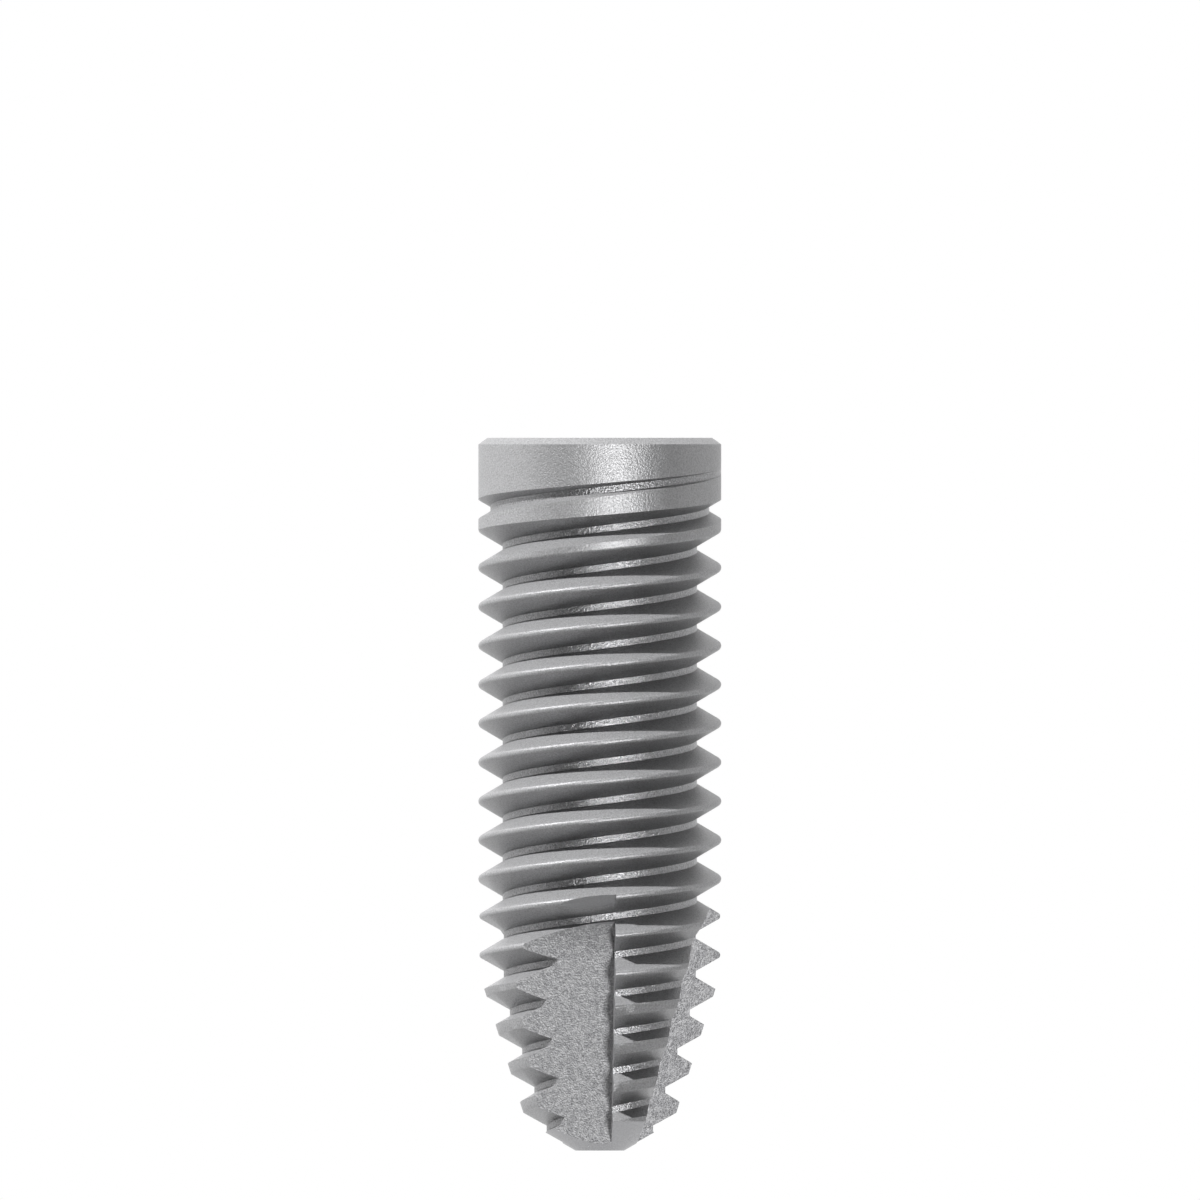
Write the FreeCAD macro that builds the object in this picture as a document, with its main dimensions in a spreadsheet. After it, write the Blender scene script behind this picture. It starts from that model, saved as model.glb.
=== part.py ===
import FreeCAD, Part
import os
from math import acos, cos, sin, tan

import Sketcher
from FreeCAD import Vector

# A screw-shaped dental implant, turned and milled from one bar of titanium.
# It stands on its head: the platform that carries the tooth's abutment lies in z = 0,
# the pointed end is up, and the axis of the screw is Z. Lengths are in millimetres.

document = FreeCAD.newDocument("DentalImplant")

# Driving dimensions

DIMENSIONS = [
    ("overall_length", 11.0, "platform to tip"),
    ("thread_diameter", 3.75, "outside diameter over the crests"),
    ("platform_diameter", 3.47, "flat face of the head"),
    ("platform_bevel", 0.1, "height of the bevel around the platform"),
    ("taper_length", 2.73, "tapered end of the crests, measured back from the tip"),
    ("taper_angle", 17.5, "half angle of the tapered end"),
    ("tip_bevel", 0.45, "height of the blunt cone at the tip"),
    ("tip_diameter", 0.75, "flat at the very tip"),
    ("thread_pitch", 0.6, "from one crest to the next"),
    ("thread_starts", 2, "separate grooves side by side"),
    ("thread_depth", 0.375, "crest to root"),
    ("flank_angle", 30.0, "each flank against a plane across the axis"),
    ("root_width", 0.1, "flat at the bottom of a groove"),
    ("tip_root_width", 0.102, "the same flat on the tapered end"),
    ("crest_land", 0.024, "flat left on top of an eased crest"),
    ("full_thread_start", 1.707, "first full depth of the grooves below the platform"),
    ("collar_overrun", 0.12, "groove's path past the point where it has left the collar"),
    ("root_taper_length", 2.42, "tapered end of the roots, measured back from the tip"),
    ("taper_overrun", 0.54, "parallel groove's path past the start of the root taper"),
    ("flute_count", 4, "cutting flutes around the tapered end"),
    ("flute_wall_offset", 0.175, "flute wall to the axis, at the tip"),
    ("flute_wall_lean", 0.92, "lean of the flute wall along the axis"),
    ("flute_twist", 3.15, "opening of the flute floor away from a square corner"),
    ("flute_floor_offset", 0.522, "flute floor to the axis, at the tip"),
    ("flute_floor_angle", 14.93, "slope of the flute floor along the axis"),
    ("flute_length", 3.0, "straight part of the flute floor, back from the tip"),
    ("flute_cutter_radius", 2.25, "curved run-out left by the milling cutter"),
    ("flute_clearance", 0.5, "how far a flute's cutting shape reaches outside the thread"),
    ("socket_mouth_diameter", 3.0, "rim of the lead-in cone of the socket"),
    ("hexagon_width", 2.42, "internal hexagon across its flats"),
    ("hexagon_depth", 1.5, "floor of the hexagon below the platform"),
    ("neck_diameter", 2.0, "top of the cone between hexagon and screw bore"),
    ("bore_diameter", 1.6, "tapping bore of the M2 abutment screw"),
    ("bore_depth", 5.5, "full bore below the platform"),
    ("drill_angle", 59.0, "half angle of the drill's point"),
    ("overshoot", 0.15, "how far a cutting shape passes the surface it cuts"),
]

sheet = document.addObject("Spreadsheet::Sheet", "Dimensions")
for row, (alias, value, meaning) in enumerate(DIMENSIONS, start=1):
    sheet.set(f"A{row}", alias)
    sheet.set(f"B{row}", str(value))
    sheet.setAlias(f"B{row}", alias)
    sheet.set(f"C{row}", meaning)
document.recompute()


def sized(formula):
    """Turn @name in a formula into the sheet's cell of that name."""
    return formula.replace("@", "Dimensions.")


# Sizes that follow from the driving dimensions

OUTER_RADIUS = "@thread_diameter / 2"
ROOT_RADIUS = "(@thread_diameter / 2 - @thread_depth)"
LEAD = "(@thread_pitch * @thread_starts)"
ROOT_TAPER_START = "(@overall_length - @root_taper_length)"
TURNS_TO_TIP = f"ceil((@overall_length - @full_thread_start) / {LEAD})"
GROOVE_END = f"(@full_thread_start + {LEAD} * {TURNS_TO_TIP})"
CREST_RADIUS = (
    "((@thread_pitch / 2 - @root_width / 2 - @thread_depth * tan(@flank_angle))"
    " / (cos(@flank_angle) - (1 - sin(@flank_angle)) * tan(@flank_angle)))"
)


# Sketches

body = document.addObject("PartDesign::Body", "implant_fixture")
body.Label = "implant_fixture"


def origin_feature(role):
    return next(feature for feature in body.Origin.OriginFeatures if feature.Role == role)


def new_sketch(name, plane):
    sketch = body.newObject("Sketcher::SketchObject", name)
    sketch.AttachmentSupport = [(origin_feature(plane), "")]
    sketch.MapMode = "FlatFace"
    return sketch


def value_of(formula):
    """Number that a formula gives with the sheet as it stands."""
    return float(document.Dimensions.evalExpression(formula.replace("@", "")))


def place_point(sketch, edge, end, across, along):
    """Hold one end of an edge at a place given by two formulas, either of them 0."""
    if across == "0":
        sketch.addConstraint(Sketcher.Constraint("PointOnObject", edge, end, -2))
    else:
        index = sketch.addConstraint(Sketcher.Constraint("DistanceX", -1, 1, edge, end, value_of(across)))
        sketch.setExpression(f"Constraints[{index}]", sized(across))
    if along == "0":
        sketch.addConstraint(Sketcher.Constraint("PointOnObject", edge, end, -1))
    else:
        index = sketch.addConstraint(Sketcher.Constraint("DistanceY", -1, 1, edge, end, value_of(along)))
        sketch.setExpression(f"Constraints[{index}]", sized(along))


def draw_outline(sketch, corners):
    """Closed outline of straight lines through corners given as pairs of formulas."""
    places = [Vector(value_of(across), value_of(along), 0) for across, along in corners]
    count = len(corners)
    for number in range(count):
        line = Part.LineSegment(places[number], places[(number + 1) % count])
        sketch.addGeometry(line, False)
    for number in range(count):
        sketch.addConstraint(Sketcher.Constraint("Coincident", number, 2, (number + 1) % count, 1))
        place_point(sketch, number, 1, *corners[number])


# Turned blank: platform, collar, parallel body, tapered end and blunt tip

blank_sketch = new_sketch("BlankOutline", "YZ_Plane")
draw_outline(blank_sketch, [
    ("0", "0"),
    ("@platform_diameter / 2", "0"),
    (OUTER_RADIUS, "@platform_bevel"),
    (OUTER_RADIUS, "@overall_length - @taper_length"),
    (
        "@thread_diameter / 2 - (@taper_length - @tip_bevel) * tan(@taper_angle)",
        "@overall_length - @tip_bevel",
    ),
    ("@tip_diameter / 2", "@overall_length"),
    ("0", "@overall_length"),
])
blank = body.newObject("PartDesign::Revolution", "TurnedBlank")
blank.Profile = blank_sketch
blank.ReferenceAxis = (blank_sketch, ["V_Axis"])
blank.Angle = 360
document.recompute()


SMALLEST_CUT = 0.001  # cubic millimetres


def check_cut(feature, before):
    """A cut that misses the solid shows no error, so the two volumes are compared."""
    removed = before.Shape.Volume - feature.Shape.Volume
    print(f"{feature.Label} removes {removed:.3f} mm3")
    if removed < SMALLEST_CUT:
        raise RuntimeError(f"{feature.Label} cuts nothing")


# Two-start thread

def groove_profile(name, root, height, root_width="@root_width"):
    """Section of one groove, its root flat at a radius and its middle at a height."""
    flank_top = (f"@thread_depth - {CREST_RADIUS} * (1 - sin(@flank_angle))",
                 f"@thread_pitch / 2 - {CREST_RADIUS} * cos(@flank_angle)")
    half = [
        ("0", f"{root_width} / 2"),
        flank_top,
        ("@thread_depth", "@thread_pitch / 2 - @crest_land / 2"),
        ("@thread_depth + @overshoot", "@thread_pitch / 2 - @crest_land / 2"),
    ]
    upper = [(f"{root} + {out}", f"{height} + ({half_width})") for out, half_width in half]
    lower = [(f"{root} + {out}", f"{height} - ({half_width})") for out, half_width in reversed(half)]
    sketch = new_sketch(name, "XZ_Plane")
    draw_outline(sketch, upper + lower)
    return sketch


def groove(name, before, profile, height, cone, downwards=False):
    """Cut a groove that winds around the axis from its profile, on a cone of a half angle."""
    cut = body.newObject("PartDesign::SubtractiveHelix", name)
    cut.Profile = profile
    cut.ReferenceAxis = (profile, ["V_Axis"])
    cut.Mode = "pitch-height-angle"
    cut.LeftHanded = False
    cut.Reversed = downwards
    cut.setExpression("Pitch", sized(LEAD))
    cut.setExpression("Height", sized(height))
    cut.setExpression("Angle", sized(cone))
    document.recompute()
    check_cut(cut, before)
    return cut


parallel_groove = groove(
    "ParallelGroove",
    blank,
    groove_profile("ParallelGrooveSection", ROOT_RADIUS, "@full_thread_start"),
    f"{ROOT_TAPER_START} - @full_thread_start + @taper_overrun",
    "0",
)

# The groove fades out towards the platform over one turn.
collar_groove = groove(
    "CollarGroove",
    parallel_groove,
    groove_profile("CollarGrooveSection", ROOT_RADIUS, "@full_thread_start"),
    f"{LEAD} + @collar_overrun",
    f"atan(@thread_depth / {LEAD})",
    downwards=True,
)

# On the tapered end the root comes in along a cone. That groove winds back from beyond the
# tip, and ends inside the parallel groove, where it is the shallower of the two. Its root
# flat is a hair wider, so that the two grooves cross in clean edges.
apical_groove = groove(
    "ApicalGroove",
    collar_groove,
    groove_profile(
        "ApicalGrooveSection",
        f"({ROOT_RADIUS} - ({GROOVE_END} - {ROOT_TAPER_START}) * tan(@taper_angle))",
        GROOVE_END,
        "@tip_root_width",
    ),
    f"{GROOVE_END} - {ROOT_TAPER_START} + @thread_pitch",
    "@taper_angle",
    downwards=True,
)

thread = body.newObject("PartDesign::PolarPattern", "ThreadStarts")
thread.Originals = [parallel_groove, collar_groove, apical_groove]
thread.Axis = (blank_sketch, ["V_Axis"])
thread.Angle = 360
thread.setExpression("Occurrences", sized("@thread_starts"))
body.Tip = thread
document.recompute()


# Cutting flutes around the tapered end

FLUTE_OUTSIDE = "(@thread_diameter / 2 + @flute_clearance)"
FLOOR_AT_RUN_OUT = "(@flute_floor_offset + @flute_length * tan(@flute_floor_angle))"


def draw_flute(sketch):
    """Floor line from beyond the tip, the cutter's arc up to the outside, and straight back."""
    floor_angle = value_of("@flute_floor_angle * pi / 180")
    cutter_radius = value_of("@flute_cutter_radius")
    outside = value_of(FLUTE_OUTSIDE)
    over = value_of("@overshoot")
    run_out = Vector(-value_of(FLOOR_AT_RUN_OUT), -value_of("@flute_length"), 0)
    beyond_tip = Vector(over * tan(floor_angle) - value_of("@flute_floor_offset"), over, 0)
    centre = run_out + Vector(-cos(floor_angle), sin(floor_angle), 0) * cutter_radius
    end_angle = acos((-outside - centre.x) / cutter_radius)
    arc_end = centre + Vector(cos(end_angle), -sin(end_angle), 0) * cutter_radius
    corner = Vector(-outside, over, 0)

    sketch.addGeometry(Part.LineSegment(beyond_tip, run_out), False)
    circle = Part.Circle(centre, Vector(0, 0, 1), cutter_radius)
    sketch.addGeometry(Part.ArcOfCircle(circle, -end_angle, -floor_angle), False)
    sketch.addGeometry(Part.LineSegment(arc_end, corner), False)
    sketch.addGeometry(Part.LineSegment(corner, beyond_tip), False)
    sketch.addConstraint(Sketcher.Constraint("Tangent", 0, 2, 1, 2))
    sketch.addConstraint(Sketcher.Constraint("Coincident", 1, 1, 2, 1))
    sketch.addConstraint(Sketcher.Constraint("Coincident", 2, 2, 3, 1))
    sketch.addConstraint(Sketcher.Constraint("Coincident", 3, 2, 0, 1))
    index = sketch.addConstraint(Sketcher.Constraint("Radius", 1, cutter_radius))
    sketch.setExpression(f"Constraints[{index}]", sized("@flute_cutter_radius"))
    index = sketch.addConstraint(Sketcher.Constraint("DistanceX", -1, 1, 1, 1, -outside))
    sketch.setExpression(f"Constraints[{index}]", sized(f"-{FLUTE_OUTSIDE}"))
    place_point(sketch, 0, 1, "@overshoot * tan(@flute_floor_angle) - @flute_floor_offset", "@overshoot")
    place_point(sketch, 0, 2, f"-{FLOOR_AT_RUN_OUT}", "-@flute_length")
    place_point(sketch, 3, 1, f"-{FLUTE_OUTSIDE}", "@overshoot")


# The section lies on the flute's wall, which leans a little towards the axis at the head.
flute_sketch = new_sketch("FluteSection", "YZ_Plane")
flute_sketch.AttachmentOffset = FreeCAD.Placement(
    Vector(0, value_of("@overall_length"), -value_of("@flute_wall_offset")),
    FreeCAD.Rotation(Vector(1, 0, 0), value_of("@flute_wall_lean")),
)
flute_sketch.setExpression("AttachmentOffset.Base.y", sized("@overall_length"))
flute_sketch.setExpression("AttachmentOffset.Base.z", sized("-@flute_wall_offset"))
flute_sketch.setExpression("AttachmentOffset.Rotation.Angle", sized("@flute_wall_lean"))
draw_flute(flute_sketch)
document.recompute()

flute = body.newObject("PartDesign::Pocket", "Flute")
flute.Profile = flute_sketch
flute.UseCustomVector = True
flute.AlongSketchNormal = False
flute.Direction = Vector(1, -tan(value_of("@flute_twist * pi / 180")), 0)
flute.setExpression("Direction.y", sized("-tan(@flute_twist)"))
flute.setExpression("Length", sized(f"@flute_wall_offset + {FLUTE_OUTSIDE}"))
body.Tip = flute
document.recompute()
check_cut(flute, thread)

flutes = body.newObject("PartDesign::PolarPattern", "Flutes")
flutes.Originals = [flute]
flutes.Axis = (blank_sketch, ["V_Axis"])
flutes.Angle = 360
flutes.setExpression("Occurrences", sized("@flute_count"))
body.Tip = flutes
document.recompute()


# Socket for the abutment: lead-in cone, neck and tapping bore for its screw

bore_sketch = new_sketch("BoreOutline", "XZ_Plane")
draw_outline(bore_sketch, [
    ("0", "0"),
    ("@socket_mouth_diameter / 2", "0"),
    ("@neck_diameter / 2", "(@socket_mouth_diameter - @neck_diameter) / 2"),
    ("@neck_diameter / 2", "@hexagon_depth"),
    ("@bore_diameter / 2", "@hexagon_depth + (@neck_diameter - @bore_diameter) / 2"),
    ("@bore_diameter / 2", "@bore_depth"),
    ("0", "@bore_depth + @bore_diameter / 2 / tan(@drill_angle)"),
])
bore = body.newObject("PartDesign::Groove", "SocketAndBore")
bore.Profile = bore_sketch
bore.ReferenceAxis = (bore_sketch, ["V_Axis"])
bore.Angle = 360
body.Tip = bore
document.recompute()
check_cut(bore, flutes)

HEXAGON_SIDES = 6
CORNER_RADIUS = f"@hexagon_width / 2 / cos(180 / {HEXAGON_SIDES})"
hexagon_corners = []
for corner in range(HEXAGON_SIDES):
    turn = 360 // HEXAGON_SIDES * corner
    along = "0" if turn % 180 == 0 else f"{CORNER_RADIUS} * sin({turn})"
    hexagon_corners.append((f"{CORNER_RADIUS} * cos({turn})", along))
hexagon_sketch = new_sketch("HexagonSection", "XY_Plane")
draw_outline(hexagon_sketch, hexagon_corners)
hexagon = body.newObject("PartDesign::Pocket", "Hexagon")
hexagon.Profile = hexagon_sketch
hexagon.Reversed = True
hexagon.setExpression("Length", sized("@hexagon_depth"))
body.Tip = hexagon
document.recompute()
check_cut(hexagon, bore)


# Checks and files

for thing in document.Objects:
    if "Invalid" in thing.State or "Error" in thing.State:
        raise RuntimeError(f"{thing.Label} failed: {thing.State}")

os.makedirs("parts", exist_ok=True)
shape = body.Shape
if shape.isNull() or not shape.isValid() or len(shape.Solids) != 1:
    raise RuntimeError(f"{body.Label} is not one valid solid")
shape.exportStep(f"parts/{body.Label}.step")
print(f"{body.Label}: {shape.Volume:.3f} mm3, {len(shape.Faces)} faces")
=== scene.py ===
# %% [markdown]
# # A dental implant
# A dental implant is a hollow titanium screw that takes the place of a tooth's root. It is
# turned from one bar: a flat head (the platform), a double-start outer thread that fades out
# in the collar, and a tapered end with four milled flutes that tap the bone. Afterwards the
# whole outside is blasted with grit, which leaves a matt grey skin with a fine sparkle.
#
# The construction model is already the right size. Here a finer copy of the same screw is
# modelled, with rounded crests, the abutment screw's own fine thread and the blasted finish.

# %% Load the frame
from math import acos, atan2, ceil, cos, pi, radians, sin, sqrt, tan

import bmesh
import bpy
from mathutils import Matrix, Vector


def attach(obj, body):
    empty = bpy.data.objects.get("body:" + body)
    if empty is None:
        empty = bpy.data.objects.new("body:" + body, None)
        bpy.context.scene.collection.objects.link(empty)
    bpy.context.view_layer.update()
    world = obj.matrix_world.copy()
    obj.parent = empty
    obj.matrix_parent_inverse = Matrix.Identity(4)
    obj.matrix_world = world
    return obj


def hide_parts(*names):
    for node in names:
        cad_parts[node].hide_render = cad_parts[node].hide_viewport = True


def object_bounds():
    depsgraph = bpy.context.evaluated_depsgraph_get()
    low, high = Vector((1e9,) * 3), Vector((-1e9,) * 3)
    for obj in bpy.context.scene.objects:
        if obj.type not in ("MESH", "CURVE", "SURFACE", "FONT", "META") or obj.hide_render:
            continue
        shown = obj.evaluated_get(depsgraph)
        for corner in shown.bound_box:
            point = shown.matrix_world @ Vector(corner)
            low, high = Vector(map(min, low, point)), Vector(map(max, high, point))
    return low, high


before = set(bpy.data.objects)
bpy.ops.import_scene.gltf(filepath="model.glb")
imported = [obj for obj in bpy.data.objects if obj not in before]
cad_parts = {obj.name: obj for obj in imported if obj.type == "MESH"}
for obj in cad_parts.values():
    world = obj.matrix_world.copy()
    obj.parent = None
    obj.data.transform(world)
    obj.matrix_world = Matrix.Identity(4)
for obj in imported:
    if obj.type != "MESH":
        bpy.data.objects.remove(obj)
cad_low, cad_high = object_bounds()
scene = bpy.context.scene
print("construction box in metres:", [round(v, 5) for v in (*cad_low, *cad_high)])

# %% [markdown]
# ## Sizes
# The part is only 11 mm long, and tools such as Merge and Bevel are easier to steer in numbers
# near 1. So the piece is modelled with one unit for each millimetre, and scaled to metres when
# it is finished. The length and the thread's diameter come from the frame, and the others are
# this kind of implant's own sizes.

# %% Sizes in millimetres
MM = 0.001
LENGTH = cad_high.z / MM
CREST_RADIUS = 3.75 / 2
PLATFORM_RADIUS = 3.47 / 2
PLATFORM_BEVEL = 0.1
TAPER_START = LENGTH - 2.73
TAPER = tan(radians(17.5))
TIP_START = LENGTH - 0.45
TIP_RADIUS = 0.375

PITCH = 0.6
LEAD = 2 * PITCH
DEPTH = 0.375
ROOT_WIDTH = 0.1
FLANK = radians(30)
FULL_THREAD_START = 1.707
ROOT_TAPER_START = LENGTH - 2.42
ROOT_RADIUS = CREST_RADIUS - DEPTH

print("length", round(LENGTH, 3), "mm, lead", LEAD, "mm, root radius", ROOT_RADIUS, "mm")

# %% [markdown]
# ## Small helpers
# Every operator acts on all that is selected, so each step starts with nothing selected.
# `ring` cuts a loop of edges across a turned piece with Bisect, which works without a window,
# and `resize_ring` turns that loop to a new radius, as a lathe would. Points that lie nearer
# than SAME_PLACE, in millimetres, count as one.

# %% Helpers for selecting and shaping
SAME_PLACE = 1e-4


def deselect_all():
    """Leave edit mode and select nothing."""
    if bpy.context.object and bpy.context.object.mode != "OBJECT":
        bpy.ops.object.mode_set(mode="OBJECT")
    bpy.ops.object.select_all(action="DESELECT")


def make_active(piece):
    """Select this piece alone and make it the active one."""
    deselect_all()
    piece.select_set(True)
    bpy.context.view_layer.objects.active = piece


def select_points(piece, wanted):
    """Select the points for which wanted(place) is true, in point mode."""
    bpy.ops.object.mode_set(mode="EDIT")
    bpy.ops.mesh.select_mode(type="VERT")
    bpy.ops.mesh.select_all(action="DESELECT")
    mesh = bmesh.from_edit_mesh(piece.data)
    for point in mesh.verts:
        point.select = wanted(point.co)
    mesh.select_flush(True)
    bmesh.update_edit_mesh(piece.data)


def ring(piece, height):
    """Cut a loop of edges straight across the piece."""
    make_active(piece)
    bpy.ops.object.mode_set(mode="EDIT")
    bpy.ops.mesh.select_all(action="SELECT")
    bpy.ops.mesh.bisect(plane_co=(0, 0, height), plane_no=(0, 0, 1))
    bpy.ops.object.mode_set(mode="OBJECT")


def resize_ring(piece, height, radius):
    """Give the loop at a height a new radius about the axis."""
    make_active(piece)
    select_points(piece, lambda place: abs(place.z - height) < SAME_PLACE)
    mesh = bmesh.from_edit_mesh(piece.data)
    now = max(point.co.xy.length for point in mesh.verts if point.select)
    factor = radius / now
    bpy.ops.transform.resize(value=(factor, factor, 1), center_override=(0, 0, height))
    bpy.ops.object.mode_set(mode="OBJECT")


def turned_piece(name, outline, sides, turn=0.0):
    """Turn a cylinder down to an outline of (radius, height) pairs, from bottom to top."""
    deselect_all()
    bottom, top = outline[0][1], outline[-1][1]
    widest = max(radius for radius, _ in outline)
    bpy.ops.mesh.primitive_cylinder_add(
        vertices=sides, radius=widest, depth=top - bottom,
        location=(0, 0, (top + bottom) / 2), rotation=(0, 0, turn),
    )
    piece = bpy.context.object
    piece.name = name
    bpy.ops.object.transform_apply(location=True, rotation=True, scale=True)
    for _, height in outline[1:-1]:
        ring(piece, height)
    for radius, height in outline:
        resize_ring(piece, height, radius)
    return piece


print("points within", SAME_PLACE, "mm count as one")

# %% [markdown]
# ## Blasted titanium
# Grit blasting leaves a skin of tiny craters, a few hundredths of a millimetre wide. Each
# crater reflects another part of the room, so the grey metal is matt and sparkles only where a
# lamp is mirrored. Part of the light leaves such a skin in all directions, which a Metallic
# value below 1 stands for.
#
# Five finishes share one recipe of noise textures. The flanks and crests are the plain one. The
# bottoms of the grooves are smoother, and their colour is darker as painted shade, for the shade
# that falls deep in the grooves. The milled flutes are coarser, with pale veins where the metal
# was pushed into folds, but the cutter's run-out is smooth, and so is the tip. A vein lies where
# a second noise is within VEIN_WIDTH of its middle.

# %% The material
CRATER_SIZE = 0.025
VEIN_SPACING = 0.12
VEIN_WIDTH = 0.08


def blasted_titanium(name, colour, metallic, roughness, crater_depth, specks, veins=0.0):
    """Grey metal with craters, in millimetres; specks and veins say how strong they are."""
    material = bpy.data.materials.new(name)
    material.use_nodes = True
    nodes, links = material.node_tree.nodes, material.node_tree.links
    metal = nodes["Principled BSDF"]
    metal.inputs["Metallic"].default_value = metallic
    metal.inputs["Roughness"].default_value = roughness
    place = nodes.new("ShaderNodeTexCoord")

    craters = nodes.new("ShaderNodeTexNoise")
    craters.inputs["Scale"].default_value = 1 / (CRATER_SIZE * MM)
    craters.inputs["Detail"].default_value = 2
    bump = nodes.new("ShaderNodeBump")
    bump.inputs["Distance"].default_value = crater_depth * MM
    links.new(place.outputs["Object"], craters.inputs["Vector"])
    links.new(craters.outputs["Fac"], bump.inputs["Height"])
    links.new(bump.outputs["Normal"], metal.inputs["Normal"])

    speckled = nodes.new("ShaderNodeMix")
    speckled.data_type = "RGBA"
    speckled.inputs["A"].default_value = (*(value * (1 - specks) for value in colour), 1)
    speckled.inputs["B"].default_value = (*(value * (1 + specks) for value in colour), 1)
    links.new(craters.outputs["Fac"], speckled.inputs["Factor"])

    folds = nodes.new("ShaderNodeTexNoise")
    folds.inputs["Scale"].default_value = 1 / (VEIN_SPACING * MM)
    folds.inputs["Detail"].default_value = 3
    off_middle = nodes.new("ShaderNodeMath")
    off_middle.operation = "SUBTRACT"
    off_middle.inputs[1].default_value = 0.5
    distance = nodes.new("ShaderNodeMath")
    distance.operation = "ABSOLUTE"
    narrow = nodes.new("ShaderNodeMapRange")
    narrow.inputs["From Max"].default_value = VEIN_WIDTH
    narrow.inputs["To Min"].default_value = veins
    narrow.inputs["To Max"].default_value = 0
    veined = nodes.new("ShaderNodeMix")
    veined.data_type = "RGBA"
    veined.inputs["B"].default_value = (1, 1, 1, 1)
    links.new(place.outputs["Object"], folds.inputs["Vector"])
    links.new(folds.outputs["Fac"], off_middle.inputs[0])
    links.new(off_middle.outputs[0], distance.inputs[0])
    links.new(distance.outputs[0], narrow.inputs["Value"])
    links.new(narrow.outputs[0], veined.inputs["Factor"])
    links.new(speckled.outputs["Result"], veined.inputs["A"])
    links.new(veined.outputs["Result"], metal.inputs["Base Color"])
    return material


turned_skin = blasted_titanium(
    "turned_skin", (0.56, 0.56, 0.57), metallic=0.4, roughness=0.43,
    crater_depth=0.009, specks=0.5,
)
# The groove bottoms' finish is smoother, and its darker colour is painted shade for the shade deep
# in the grooves.
painted_shade_root_skin = blasted_titanium(
    "painted_shade_root_skin", (0.45, 0.45, 0.46), metallic=0.5, roughness=0.31,
    crater_depth=0.014, specks=0.9,
)
milled_skin = blasted_titanium(
    "milled_skin", (0.36, 0.36, 0.37), metallic=0.69, roughness=0.55,
    crater_depth=0.014, specks=0.75, veins=0.22,
)
run_out_skin = blasted_titanium(
    "run_out_skin", (0.36, 0.36, 0.37), metallic=0.69, roughness=0.5,
    crater_depth=0.006, specks=0.2,
)
tip_skin = blasted_titanium(
    "tip_skin", (0.35, 0.35, 0.36), metallic=0.9, roughness=0.33,
    crater_depth=0.008, specks=0.3,
)
finishes = (turned_skin, painted_shade_root_skin, milled_skin, run_out_skin, tip_skin)
print("materials", [finish.name for finish in finishes])

# %% [markdown]
# ## The turned blank
# On the lathe the screw begins as a plain bar. Its bottom gets the small bevel around the
# platform, and its top the long taper and the blunt tip. A cylinder does for the bar: Bisect
# adds a ring of edges wherever the outline bends, and each ring is scaled to its radius.

# %% Turn the blank
SIDES = 96

blank = turned_piece("implant", [
    (PLATFORM_RADIUS, 0),
    (CREST_RADIUS, PLATFORM_BEVEL),
    (CREST_RADIUS, TAPER_START),
    (CREST_RADIUS - (TIP_START - TAPER_START) * TAPER, TIP_START),
    (TIP_RADIUS, LENGTH),
], SIDES, turn=pi / SIDES)
blank.data.materials.append(turned_skin)
blank.data.materials.append(tip_skin)
for face in blank.data.polygons:
    face.material_index = 1 if face.center.z > TIP_START else 0
print("blank", len(blank.data.polygons), "faces")

# %% [markdown]
# ## Winding a thread
# A thread is one outline that turns and climbs at once, which is what the Screw modifier does.
# The outline is drawn point by point with Extrude, and covers one lead: the height that the
# thread climbs in a turn. Its last point meets the first point of the next turn, so that Merge
# joins the turns into one skin. Bisect then cuts that skin level at both ends and fills the
# cuts, which makes a closed solid.

# %% Helpers for threads
def drawn_line(name, places):
    """A line of edges: a plane merged to one point, and Extrude for each further point."""
    deselect_all()
    bpy.ops.mesh.primitive_plane_add(size=0.1, location=(0, 0, 0))
    piece = bpy.context.object
    piece.name = name
    bpy.ops.object.mode_set(mode="EDIT")
    bpy.ops.mesh.select_mode(type="VERT")
    bpy.ops.mesh.select_all(action="SELECT")
    bpy.ops.mesh.merge(type="CENTER")
    bpy.ops.transform.translate(value=places[0])
    for before, after in zip(places, places[1:]):
        bpy.ops.mesh.extrude_region_move(TRANSFORM_OT_translate={"value": after - before})
    bpy.ops.object.mode_set(mode="OBJECT")
    return piece


def apply_modifiers(piece):
    """Make every modifier's result the piece's own mesh."""
    make_active(piece)
    for modifier in list(piece.modifiers):
        bpy.ops.object.modifier_apply(modifier=modifier.name)


def wound_thread(name, outline, lead, turns, steps):
    """Wind an outline of (radius, height) pairs up the axis, right-handed, and join the turns."""
    places = [Vector((radius, 0, height)) for radius, height in outline]
    places.append(places[0] + Vector((0, 0, lead)))
    thread = drawn_line(name, places)
    screw = thread.modifiers.new("Wind", "SCREW")
    screw.angle = 2 * pi
    screw.screw_offset = lead
    screw.iterations = turns
    screw.steps = steps
    screw.render_steps = steps
    apply_modifiers(thread)
    bpy.ops.object.mode_set(mode="EDIT")
    bpy.ops.mesh.select_all(action="SELECT")
    bpy.ops.mesh.remove_doubles(threshold=SAME_PLACE)
    bpy.ops.object.mode_set(mode="OBJECT")
    return thread


def cut_level(piece, low, high):
    """Cut off all below and above two heights, close the cuts and turn the faces outward."""
    make_active(piece)
    bpy.ops.object.mode_set(mode="EDIT")
    bpy.ops.mesh.select_all(action="SELECT")
    bpy.ops.mesh.bisect(plane_co=(0, 0, low), plane_no=(0, 0, 1), use_fill=True, clear_inner=True)
    bpy.ops.mesh.select_all(action="SELECT")
    bpy.ops.mesh.bisect(plane_co=(0, 0, high), plane_no=(0, 0, 1), use_fill=True, clear_outer=True)
    bpy.ops.mesh.select_all(action="SELECT")
    bpy.ops.mesh.normals_make_consistent(inside=False)
    bpy.ops.object.mode_set(mode="OBJECT")


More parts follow.
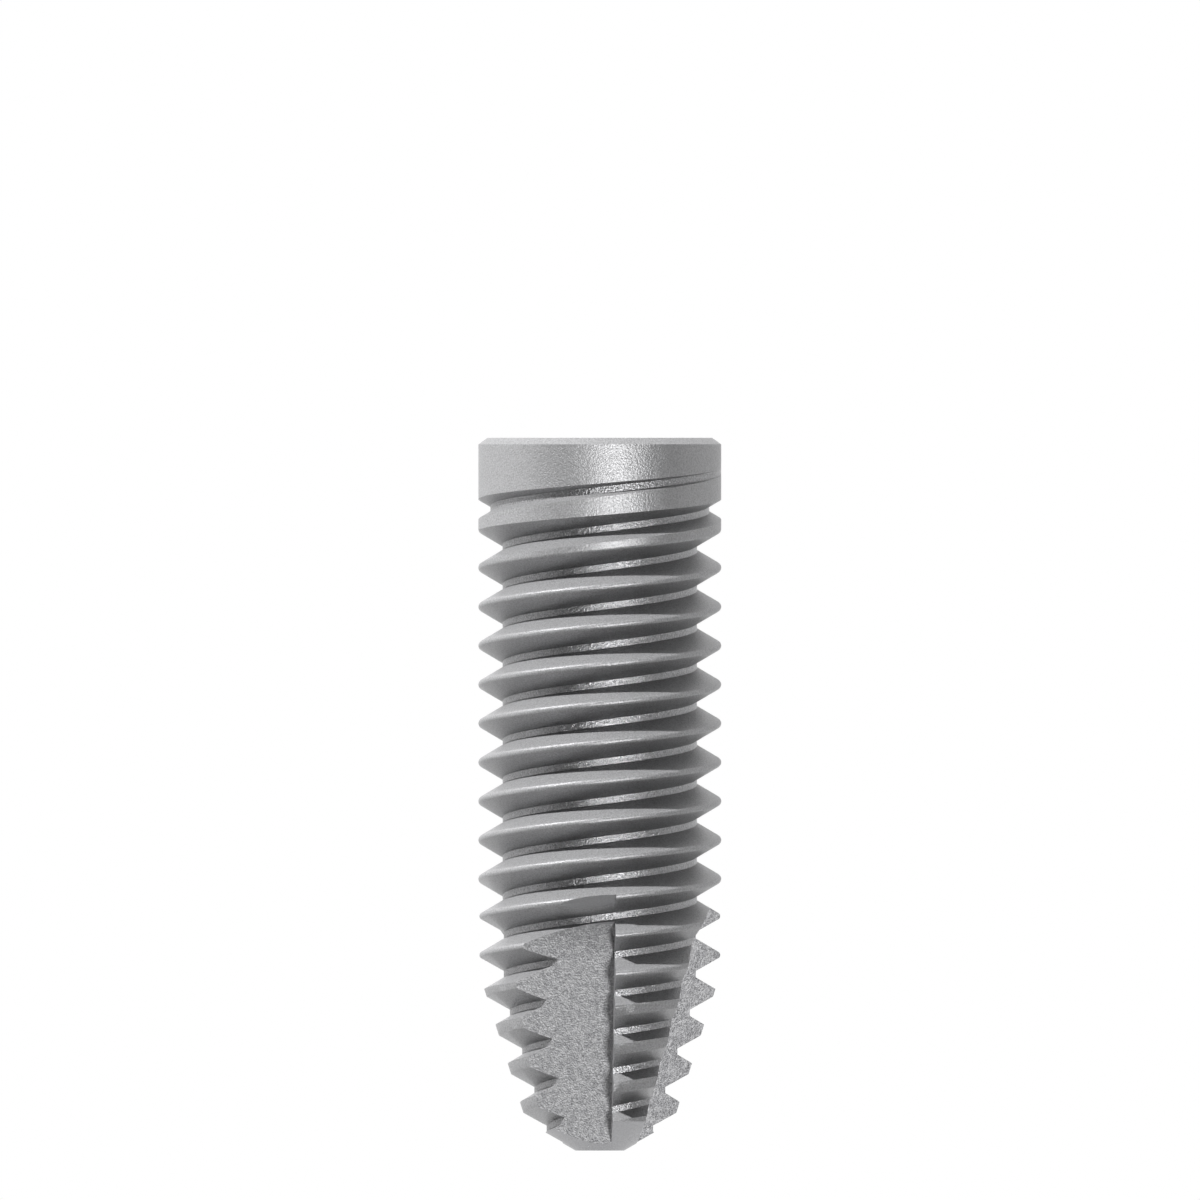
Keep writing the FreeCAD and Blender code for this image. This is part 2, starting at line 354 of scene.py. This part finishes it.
# %% [markdown]
# ## The double thread
# With two starts the thread climbs two pitches in each turn, so its outline holds two grooves.
# Each groove has a narrow flat at its root, two flanks at 30 degrees, and half of a rounded
# crest on either side.
#
# In the collar the grooves rise out of the metal within one lead, and over the taper they
# follow its slope. So after winding, each groove's points are moved in or out by an amount that
# depends only on the height of the groove's middle at that place, which keeps its outline.

# %% Wind the outer thread
CREST_ROUND = (PITCH / 2 - ROOT_WIDTH / 2 - DEPTH * tan(FLANK)) * cos(FLANK) / (1 - sin(FLANK))
CREST_GAP = 0.003
CREST_STEPS = 5
COLLAR_RISE = DEPTH / LEAD
TURNS_BELOW = 3
SPARE = 0.2


def half_groove():
    """(height above the root, distance from the groove's middle) pairs from root to crest."""
    places = [(0.0, ROOT_WIDTH / 2)]
    for number in range(CREST_STEPS):
        angle = FLANK + (pi / 2 - FLANK) * number / CREST_STEPS
        out = DEPTH - CREST_ROUND * (1 - sin(angle))
        places.append((out, PITCH / 2 - CREST_ROUND * cos(angle)))
    places.append((DEPTH, (PITCH - CREST_GAP) / 2))
    return places


def whole_groove(middle):
    """(radius, height) pairs of both flanks of the groove with its middle at a height."""
    lower = [(ROOT_RADIUS + out, middle - aside) for out, aside in reversed(half_groove())]
    upper = [(ROOT_RADIUS + out, middle + aside) for out, aside in half_groove()]
    return lower + upper


def groove_middle(place):
    """The height of the middle of the groove that a point belongs to, at the point's own angle."""
    start = FULL_THREAD_START + LEAD * atan2(place.y, place.x) / (2 * pi)
    return start + PITCH * round((place.z - start) / PITCH)


def groove_shift(middle):
    """How far out a groove lies at a height, compared with the full thread."""
    if middle < FULL_THREAD_START:
        return COLLAR_RISE * (FULL_THREAD_START - middle)
    return -TAPER * max(0.0, middle - ROOT_TAPER_START)


lowest_middle = FULL_THREAD_START - TURNS_BELOW * LEAD
thread = wound_thread(
    "thread", whole_groove(lowest_middle) + whole_groove(lowest_middle + PITCH),
    LEAD, TURNS_BELOW + ceil(LENGTH / LEAD), steps=SIDES,
)
for point in thread.data.vertices:
    shift = groove_shift(groove_middle(point.co))
    factor = 1 + shift / point.co.xy.length
    point.co.x *= factor
    point.co.y *= factor
cut_level(thread, -SPARE, LENGTH + SPARE)
thread.data.materials.append(turned_skin)
thread.data.materials.append(painted_shade_root_skin)
# The faces at each groove's bottom take the finish whose darker colour is painted shade.
for face in thread.data.polygons:
    aside = abs(face.center.z - groove_middle(face.center))
    face.material_index = 1 if aside < ROOT_WIDTH / 2 else 0
print("thread", len(thread.data.polygons), "faces, crest radius", round(CREST_ROUND, 4), "mm")

# %% [markdown]
# ## The flute cutters
# Four flutes are milled into the tapered end. Each is a corner cut out of the thread: a wall
# that nearly holds the axis, which does the cutting, and a floor that slopes outward and ends
# in the arc of the milling cutter. The wall is turned by 2.5 degrees, so that it shows as a thin
# bright line from the front. One cutter's side view is drawn, filled with F, and extruded
# sideways. The others are the same cutter turned by quarters.

# %% Draw the four flute cutters
FLUTES = 4
WALL_OFFSET = 0.175
WALL_LEAN = tan(radians(0.92))
WALL_TURN = tan(radians(2.5))
FLUTE_TWIST = tan(radians(3.15))
FLOOR_OFFSET = 0.522
FLOOR_ANGLE = radians(14.93)
FLUTE_START = LENGTH - 3.0
RUN_OUT = 0.5
CUTTER_RADIUS = 2.25
CLEARANCE = 0.5
CUTTER_STEPS = 10


def flute_outline():
    """(depth, height) pairs round one flute, in the plane of its wall."""
    outside = CREST_RADIUS + CLEARANCE
    top = LENGTH + CLEARANCE
    start_depth = FLOOR_OFFSET + (LENGTH - FLUTE_START) * tan(FLOOR_ANGLE)
    middle_depth = start_depth + CUTTER_RADIUS * cos(FLOOR_ANGLE)
    middle_height = FLUTE_START + CUTTER_RADIUS * sin(FLOOR_ANGLE)
    last_angle = acos((middle_depth - outside) / CUTTER_RADIUS)
    places = [(FLOOR_OFFSET - CLEARANCE * tan(FLOOR_ANGLE), top)]
    for number in range(CUTTER_STEPS + 1):
        angle = FLOOR_ANGLE + (last_angle - FLOOR_ANGLE) * number / CUTTER_STEPS
        depth = middle_depth - CUTTER_RADIUS * cos(angle)
        places.append((depth, middle_height - CUTTER_RADIUS * sin(angle)))
    places.append((outside, top))
    return places


def wall_place(depth, height):
    """The place on the flute's wall at a depth and a height."""
    floor_depth = FLOOR_OFFSET + (LENGTH - height) * tan(FLOOR_ANGLE)
    aside = WALL_OFFSET + (LENGTH - height) * WALL_LEAN + (depth - floor_depth) * WALL_TURN
    return Vector((-aside, -depth, height))


def flute_cutters_in_place():
    """One cutter, drawn, filled and extruded, and its turned copies, in one piece."""
    places = [wall_place(depth, height) for depth, height in flute_outline()]
    cutter = drawn_line("flute cutter", places)
    across = CREST_RADIUS + WALL_OFFSET + CLEARANCE
    make_active(cutter)
    bpy.ops.object.mode_set(mode="EDIT")
    bpy.ops.mesh.select_all(action="SELECT")
    bpy.ops.mesh.edge_face_add()
    bpy.ops.mesh.extrude_region_move(
        TRANSFORM_OT_translate={"value": (across, -across * FLUTE_TWIST, 0)}
    )
    bpy.ops.mesh.select_all(action="SELECT")
    bpy.ops.mesh.normals_make_consistent(inside=False)
    for _ in range(FLUTES - 1):
        bpy.ops.mesh.duplicate()
        bpy.ops.transform.rotate(value=2 * pi / FLUTES, orient_axis="Z", center_override=(0, 0, 0))
    bpy.ops.object.mode_set(mode="OBJECT")
    return cutter


flute_cutters = flute_cutters_in_place()
flute_cutters.data.materials.append(milled_skin)
flute_cutters.data.materials.append(run_out_skin)
for face in flute_cutters.data.polygons:
    face.material_index = 1 if face.center.z < FLUTE_START - RUN_OUT else 0
print("flute cutters", len(flute_cutters.data.polygons), "faces")

# %% [markdown]
# ## The inner connection
# The platform's hollow isn't in the photograph. A usual one is made: a lead-in cone, a hexagon
# that the driver turns, and a tapped bore for the abutment screw. The bore's drill ends in a
# cone. Its thread is wound like the outer one, with one start. None of it is large in any view,
# so it gets fewer sides than the outside.

# %% Make the drill, the hexagon and the tap
HEXAGON_WIDTH = 2.42
HEXAGON_DEPTH = 1.5
MOUTH_RADIUS = 1.5
NECK_RADIUS = 1.0
BORE_RADIUS = 0.8
BORE_DEPTH = 5.5
DRILL_SLOPE = tan(radians(59))
DRILL_TIP = 0.01
TAP_PITCH = 0.4
TAP_DEPTH = 0.2
TAP_CREST = 0.05
TAP_LENGTH = 3.6
DRILL_SIDES = 64
TAP_STEPS = 32

drill = turned_piece("drill", [
    (MOUTH_RADIUS + SPARE, -SPARE),
    (NECK_RADIUS, MOUTH_RADIUS - NECK_RADIUS),
    (NECK_RADIUS, HEXAGON_DEPTH),
    (BORE_RADIUS, HEXAGON_DEPTH + NECK_RADIUS - BORE_RADIUS),
    (BORE_RADIUS, BORE_DEPTH),
    (DRILL_TIP, BORE_DEPTH + (BORE_RADIUS - DRILL_TIP) / DRILL_SLOPE),
], DRILL_SIDES)

hexagon_corner = HEXAGON_WIDTH / sqrt(3)
hexagon = turned_piece("hexagon", [
    (hexagon_corner, -SPARE),
    (hexagon_corner, HEXAGON_DEPTH),
], 6, turn=pi / 6)

tap_half = TAP_CREST / 2 + TAP_DEPTH * tan(FLANK)
tap_base = BORE_RADIUS - CREST_GAP
tap = wound_thread("tap", [
    (tap_base, -tap_half), (BORE_RADIUS + TAP_DEPTH, -TAP_CREST / 2),
    (BORE_RADIUS + TAP_DEPTH, TAP_CREST / 2), (tap_base, tap_half),
], TAP_PITCH, ceil((BORE_DEPTH + SPARE) / TAP_PITCH), steps=TAP_STEPS)
cut_level(tap, HEXAGON_DEPTH, HEXAGON_DEPTH + TAP_LENGTH)
for tool in (drill, hexagon, tap):
    tool.data.materials.append(turned_skin)
    print(tool.name, len(tool.data.polygons), "faces")

# %% [markdown]
# ## Cutting the screw
# Blank and thread are crossed first: what lies in both is the threaded screw. The flutes come
# next, while their cutters still meet plain flanks, and the hollow last. Then the doubles that
# the cuts leave are merged, the piece is scaled to metres, and its edges below SMOOTH_ANGLE are
# shaded smooth.

# %% Cross and cut
DOUBLES = 1e-5
SMOOTH_ANGLE = radians(28)


def combine(piece, tool, operation):
    """Boolean the tool into the piece, keep the tool's materials, and delete the tool."""
    modifier = piece.modifiers.new(operation.title(), "BOOLEAN")
    modifier.operation = operation
    modifier.solver = "EXACT"
    modifier.material_mode = "TRANSFER"
    modifier.object = tool
    apply_modifiers(piece)
    bpy.data.objects.remove(tool)
    print(f"{piece.name}: {operation.lower()} leaves {len(piece.data.polygons)} faces")


combine(blank, thread, "INTERSECT")
combine(blank, flute_cutters, "DIFFERENCE")
combine(blank, drill, "DIFFERENCE")
combine(blank, hexagon, "DIFFERENCE")
combine(blank, tap, "DIFFERENCE")

make_active(blank)
bpy.ops.object.mode_set(mode="EDIT")
bpy.ops.mesh.select_all(action="SELECT")
bpy.ops.mesh.remove_doubles(threshold=DOUBLES)
bpy.ops.mesh.normals_make_consistent(inside=False)
bpy.ops.transform.resize(value=(MM, MM, MM), center_override=(0, 0, 0))
bpy.ops.object.mode_set(mode="OBJECT")
bpy.ops.object.shade_smooth_by_angle(angle=SMOOTH_ANGLE)

# %% Measure the screw
shape = bmesh.new()
shape.from_mesh(blank.data)
open_edges = sum(1 for edge in shape.edges if len(edge.link_faces) != 2)
volume = shape.calc_volume() / MM**3
print("implant", len(shape.faces), "faces,", open_edges, "open edges,", round(volume, 3), "mm3")
shape.free()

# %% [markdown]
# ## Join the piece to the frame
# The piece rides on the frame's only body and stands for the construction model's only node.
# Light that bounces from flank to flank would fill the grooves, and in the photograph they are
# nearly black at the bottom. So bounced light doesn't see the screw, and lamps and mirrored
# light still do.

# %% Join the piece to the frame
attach(blank, "root")
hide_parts("implant_fixture")
blank.visible_diffuse = False

# %% [markdown]
# ## Floor
# The photograph shows the screw on plain white. The screw can't stand on its tip, so here it
# stands on its head, and what is the photograph's upper side is the floor's. The key light comes
# from there, from under the floor, so the floor throws no shadow, and the metal doesn't mirror
# it either. A faint glow of its own makes up for the light that it doesn't get.

# %% Floor
FLOOR_SIZE = 0.6

bpy.ops.mesh.primitive_plane_add(size=FLOOR_SIZE, location=(0, 0, 0))
floor = bpy.context.object
floor.name = "floor"
floor.visible_glossy = False
floor.visible_diffuse = False
floor.visible_shadow = False
paint = bpy.data.materials.new("floor paint")
paint.use_nodes = True
coat = paint.node_tree.nodes["Principled BSDF"]
coat.inputs["Base Color"].default_value = (0.9, 0.9, 0.9, 1)
coat.inputs["Roughness"].default_value = 0.8
coat.inputs["Emission Color"].default_value = (1, 1, 1, 1)
coat.inputs["Emission Strength"].default_value = 0.35
floor.data.materials.append(paint)
print("floor", FLOOR_SIZE, "m wide")

# %% [markdown]
# ## Lamps
# A small key light stands to the photograph's upper left and throws each crest's shadow into the
# groove below it. It is two lamps in one place, and the metal mirrors only one of them, which
# keeps the glints on the crests soft. A tall lamp to the right of the camera draws the bright
# line along the screw. The overhead light, from above the floor and behind, reaches the screw's
# back and the floor, and gives the screw its shadow there.

# %% Lamps
LAMP_DISTANCE = 0.3
SCREW_MIDDLE = Vector((0, 0, LENGTH * MM / 2))


def bearing_place(bearing, elevation):
    """A place at a bearing from the camera, right being positive, and above the photo's middle."""
    bearing, elevation = radians(bearing), radians(elevation)
    direction = Vector((
        -sin(bearing) * cos(elevation), -cos(bearing) * cos(elevation), -sin(elevation),
    ))
    return direction * LAMP_DISTANCE + SCREW_MIDDLE


def aim_at_screw(light):
    """Turn a lamp towards the screw's middle."""
    light.rotation_euler = (SCREW_MIDDLE - light.location).to_track_quat("-Z", "Y").to_euler()


def far_lamp(name, place, energy, spread):
    """A sun whose disc is as wide as the spread, in degrees: the wider, the softer its shadows."""
    bpy.ops.object.light_add(type="SUN", location=place)
    light = bpy.context.object
    light.name = name
    light.data.energy = energy
    light.data.angle = radians(spread)
    aim_at_screw(light)
    return light


key = far_lamp("key light", bearing_place(-56, 46.5), energy=1.75, spread=3)
matt_key = far_lamp("matt key light", key.location, energy=1.75, spread=3)
matt_key.visible_glossy = False
overhead = far_lamp("overhead light", bearing_place(180, -45), energy=2.2, spread=12)
overhead.visible_glossy = False

bpy.ops.object.light_add(type="AREA", location=bearing_place(15.5, -8))
tall = bpy.context.object
tall.name = "tall lamp"
tall.data.shape = "RECTANGLE"
tall.data.size = 0.05
tall.data.size_y = 0.1
tall.data.energy = 0.7
tall.visible_diffuse = False
aim_at_screw(tall)
print("lamps", [light.name for light in (key, matt_key, overhead, tall)])

# %% [markdown]
# ## The room
# The background is white to the camera. The room that the metal mirrors is dark on the camera's
# side and bright behind the screw, which lights both of its edges. Hardly any light comes from
# the room itself, so the shadows stay deep.

# %% The room
world = scene.world or bpy.data.worlds.new("studio")
scene.world = world
world.use_nodes = True
nodes, links = world.node_tree.nodes, world.node_tree.links
nodes.clear()

direction = nodes.new("ShaderNodeTexCoord")
parts = nodes.new("ShaderNodeSeparateXYZ")
links.new(direction.outputs["Generated"], parts.inputs[0])
walls = nodes.new("ShaderNodeMapRange")
walls.interpolation_type = "SMOOTHSTEP"
walls.inputs["From Min"].default_value = -0.82
walls.inputs["From Max"].default_value = -0.09
walls.inputs["To Min"].default_value = 0.03
walls.inputs["To Max"].default_value = 1.0
links.new(parts.outputs["Y"], walls.inputs["Value"])

backgrounds = {}
for name in ("seen", "mirrored", "scattered"):
    backgrounds[name] = nodes.new("ShaderNodeBackground")
    backgrounds[name].inputs["Color"].default_value = (1, 1, 1, 1)
backgrounds["scattered"].inputs["Strength"].default_value = 0.01
links.new(walls.outputs[0], backgrounds["mirrored"].inputs["Strength"])

path = nodes.new("ShaderNodeLightPath")
if_mirrored = nodes.new("ShaderNodeMixShader")
links.new(path.outputs["Is Glossy Ray"], if_mirrored.inputs[0])
links.new(backgrounds["scattered"].outputs[0], if_mirrored.inputs[1])
links.new(backgrounds["mirrored"].outputs[0], if_mirrored.inputs[2])
if_seen = nodes.new("ShaderNodeMixShader")
links.new(path.outputs["Is Camera Ray"], if_seen.inputs[0])
links.new(if_mirrored.outputs[0], if_seen.inputs[1])
links.new(backgrounds["seen"].outputs[0], if_seen.inputs[2])
output = nodes.new("ShaderNodeOutputWorld")
links.new(if_seen.outputs[0], output.inputs["Surface"])
print("backgrounds", list(backgrounds))

# %% [markdown]
# ## Camera
# The photograph shows no perspective, so the camera is orthographic. It looks straight at the
# screw's side, and is upside down, so that the head is at the top of the picture as in the
# photograph. Its place and width put the screw where the photograph has it.

# %% Camera
VIEW_ACROSS = -0.003 * MM
VIEW_HEIGHT = 2.503 * MM
VIEW_WIDTH = 18.519 * MM
CAMERA_DISTANCE = 0.05
UPSIDE_DOWN = (pi / 2, pi, 0)

bpy.ops.object.camera_add(
    location=(VIEW_ACROSS, -CAMERA_DISTANCE, VIEW_HEIGHT), rotation=UPSIDE_DOWN,
)
camera = bpy.context.object
camera.name = "camera"
camera.data.type = "ORTHO"
camera.data.ortho_scale = VIEW_WIDTH
camera.data.clip_start = 0.001
scene.camera = camera
scene.view_settings.view_transform = "Standard"
print("camera", [round(value, 5) for value in camera.location])
